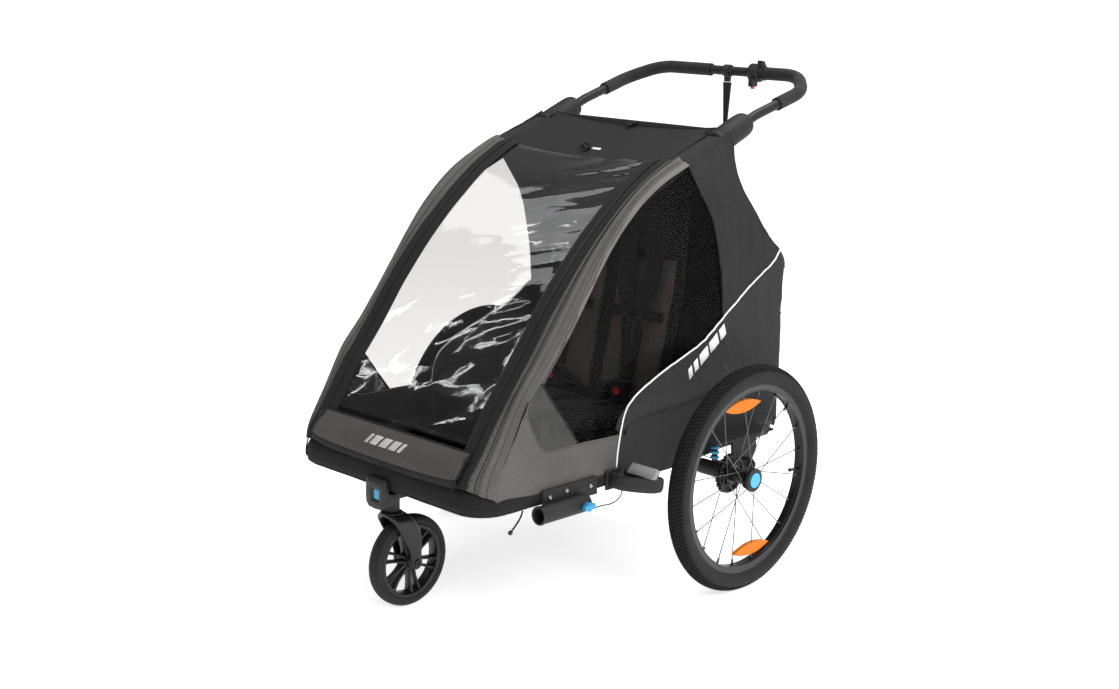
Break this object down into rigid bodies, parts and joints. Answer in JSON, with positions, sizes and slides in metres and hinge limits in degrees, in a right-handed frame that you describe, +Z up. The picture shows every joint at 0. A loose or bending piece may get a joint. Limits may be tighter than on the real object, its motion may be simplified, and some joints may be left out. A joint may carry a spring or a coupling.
{
  "type": "child bicycle trailer",
  "caption": "Two-seat child bicycle trailer with folding tube frame, zipped clear front window, sprung spoked rear wheels, front swivel caster, tow-arm socket and push handle.",
  "frame": {"origin": "on the ground under the middle of the overall box, midway between the rear wheels", "axes": "+Z up, -Y towards the front of the trailer, +X towards its left side"},
  "size_m": [0.872, 1.12, 1.12],
  "materials": {
    "black_tube": "satin",
    "black_steel": "satin",
    "black_plastic": "matte",
    "gloss_black": "gloss",
    "black_fabric": "matte",
    "grey_fabric": "matte",
    "inner_fabric": "matte",
    "webbing": "matte",
    "clear_foil": "gloss",
    "foam": "matte",
    "tyre": "matte",
    "rim": "satin",
    "spoke": "polished",
    "blue": "satin",
    "red": "satin",
    "orange": "gloss",
    "silver_reflector": "gloss",
    "elastomer": "satin"
  },
  "bodies": {
    "base": {"base_tube": "black_tube", "frame_fittings": "black_tube", "bumper_cover": "black_fabric", "floor_panel": "black_fabric", "lower_cover": "grey_fabric", "side_upper_panels": "black_fabric", "rear_bag": "black_fabric", "seat_cushion": "inner_fabric", "seat_back": "inner_fabric", "harness": "webbing", "crotch_buckles": "black_plastic", "suspension_plates": "black_steel", "caster_bracket": "black_plastic", "tow_socket": "black_steel", "tow_strap": "webbing", "pin_lanyard": "black_plastic", "wheel_guards": "black_plastic", "guard_reflectors": "silver_reflector", "suspension_spring_left": "elastomer", "suspension_spring_right": "elastomer"},
    "upper_frame": {"upper_frame": "black_tube", "rail_covers": "grey_fabric", "handle_brackets": "gloss_black", "window_foil": "clear_foil", "front_panel": "grey_fabric", "window_zips": "webbing", "roof_panel": "black_fabric"},
    "rear_strut": {"rear_strut": "black_tube"},
    "rear_uprights": {"rear_uprights": "black_steel"},
    "handlebar": {"handlebar": "black_tube", "foam_grips": "foam", "bar_clamps": "black_plastic", "wrist_strap": "webbing"},
    "brake_lever": {"brake_lever": "black_plastic"},
    "brake_button": {"brake_button": "red"},
    "lock_button_left": {"lock_button_left": "black_plastic"},
    "lock_button_right": {"lock_button_right": "black_plastic"},
    "zip_slider_left": {"zip_slider_left": "black_steel"},
    "zip_slider_right": {"zip_slider_right": "black_steel"},
    "tow_pin": {"tow_pin": "blue"},
    "buckle_button_left": {"buckle_button_left": "red"},
    "buckle_button_right": {"buckle_button_right": "red"},
    "caster_fork": {"caster_fork": "gloss_black"},
    "caster_wheel": {"caster_rim": "black_plastic", "caster_tyre": "tyre"},
    "caster_button": {"caster_button": "blue"},
    "swing_arm_left": {"swing_arm_left": "black_steel"},
    "rear_wheel_left": {"rear_rim_left": "rim", "rear_tyre_left": "tyre", "rear_hub_left": "gloss_black", "rear_spokes_left": "spoke", "spoke_reflectors_left": "orange"},
    "hub_button_left": {"hub_button_left": "blue"},
    "swing_arm_right": {"swing_arm_right": "black_steel"},
    "rear_wheel_right": {"rear_rim_right": "rim", "rear_tyre_right": "tyre", "rear_hub_right": "gloss_black", "rear_spokes_right": "spoke", "spoke_reflectors_right": "orange"},
    "hub_button_right": {"hub_button_right": "blue"}
  },
  "joints": [
    {"name": "rail_fold", "type": "hinge", "parent": "base", "child": "upper_frame", "pos_m": [0, -0.486, 0.314], "axis": [1, 0, 0], "range_deg": [-38, 0], "deforming": ["side_upper_panels", "rear_bag", "seat_back", "harness"]},
    {"name": "strut_fold", "type": "hinge", "parent": "upper_frame", "child": "rear_strut", "pos_m": [0, 0.194, 0.9618], "axis": [1, 0, 0], "range_deg": [-77, 0]},
    {"name": "upright_fold", "type": "hinge", "parent": "base", "child": "rear_uprights", "pos_m": [0, 0.388, 0.312], "axis": [1, 0, 0], "range_deg": [0, 86]},
    {"name": "handle_slide", "type": "slide", "parent": "upper_frame", "child": "handlebar", "axis": [0, 0.9223, 0.3865], "range_m": [0, 0.06]},
    {"name": "brake_lever_turn", "type": "hinge", "parent": "handlebar", "child": "brake_lever", "pos_m": [0.104, 0.537, 1.09], "axis": [1, 0, 0], "range_deg": [0, 30]},
    {"name": "brake_button_press", "type": "slide", "parent": "handlebar", "child": "brake_button", "axis": [0, 0, 1], "range_m": [0, 0.0025], "stiffness_N_per_m": 400, "springref_m": -0.002},
    {"name": "lock_left_press", "type": "slide", "parent": "upper_frame", "child": "lock_button_left", "axis": [-1, 0, 0], "range_m": [0, 0.003], "stiffness_N_per_m": 400, "springref_m": -0.002},
    {"name": "lock_right_press", "type": "slide", "parent": "upper_frame", "child": "lock_button_right", "axis": [1, 0, 0], "range_m": [0, 0.003], "stiffness_N_per_m": 400, "springref_m": -0.002},
    {"name": "zip_left_slide", "type": "slide", "parent": "upper_frame", "child": "zip_slider_left", "axis": [0, 0.6032, 0.7976], "range_m": [0, 0.44]},
    {"name": "zip_right_slide", "type": "slide", "parent": "upper_frame", "child": "zip_slider_right", "axis": [0, 0.6032, 0.7976], "range_m": [0, 0.44]},
    {"name": "tow_pin_pull", "type": "slide", "parent": "base", "child": "tow_pin", "axis": [1, 0, 0], "range_m": [0, 0.045]},
    {"name": "buckle_left_press", "type": "slide", "parent": "base", "child": "buckle_button_left", "axis": [0, 1, 0], "range_m": [0, 0.003], "stiffness_N_per_m": 400, "springref_m": -0.002},
    {"name": "buckle_right_press", "type": "slide", "parent": "base", "child": "buckle_button_right", "axis": [0, 1, 0], "range_m": [0, 0.003], "stiffness_N_per_m": 400, "springref_m": -0.002},
    {"name": "caster_swivel", "type": "hinge", "parent": "base", "child": "caster_fork", "pos_m": [0, -0.503, 0.23], "axis": [0, 0, 1], "continuous": true},
    {"name": "caster_spin", "type": "hinge", "parent": "caster_fork", "child": "caster_wheel", "pos_m": [0, -0.458, 0.098], "axis": [1, 0, 0], "continuous": true},
    {"name": "caster_button_press", "type": "slide", "parent": "base", "child": "caster_button", "axis": [0, 1, 0], "range_m": [0, 0.002], "stiffness_N_per_m": 400, "springref_m": -0.002},
    {"name": "suspension_left", "type": "hinge", "parent": "base", "child": "swing_arm_left", "pos_m": [0.314, 0.278, 0.235], "axis": [-1, 0, 0], "range_deg": [0, 8], "stiffness_Nm_per_rad": 150, "springref_deg": -6.88, "deforming": ["suspension_spring_left"]},
    {"name": "wheel_left_spin", "type": "hinge", "parent": "swing_arm_left", "child": "rear_wheel_left", "pos_m": [0.41, 0.148, 0.25], "axis": [1, 0, 0], "continuous": true},
    {"name": "hub_button_left_press", "type": "slide", "parent": "swing_arm_left", "child": "hub_button_left", "axis": [-1, 0, 0], "range_m": [0, 0.003], "stiffness_N_per_m": 400, "springref_m": -0.002},
    {"name": "suspension_right", "type": "hinge", "parent": "base", "child": "swing_arm_right", "pos_m": [-0.314, 0.278, 0.235], "axis": [-1, 0, 0], "range_deg": [0, 8], "stiffness_Nm_per_rad": 150, "springref_deg": -6.88, "deforming": ["suspension_spring_right"]},
    {"name": "wheel_right_spin", "type": "hinge", "parent": "swing_arm_right", "child": "rear_wheel_right", "pos_m": [-0.41, 0.148, 0.25], "axis": [1, 0, 0], "continuous": true},
    {"name": "hub_button_right_press", "type": "slide", "parent": "swing_arm_right", "child": "hub_button_right", "axis": [1, 0, 0], "range_m": [0, 0.003], "stiffness_N_per_m": 400, "springref_m": -0.002}
  ],
  "couplings": [
    {"joint": "strut_fold", "follows": "rail_fold", "ratio": 2},
    {"joint": "upright_fold", "follows": "rail_fold", "ratio": -2.25}
  ]
}
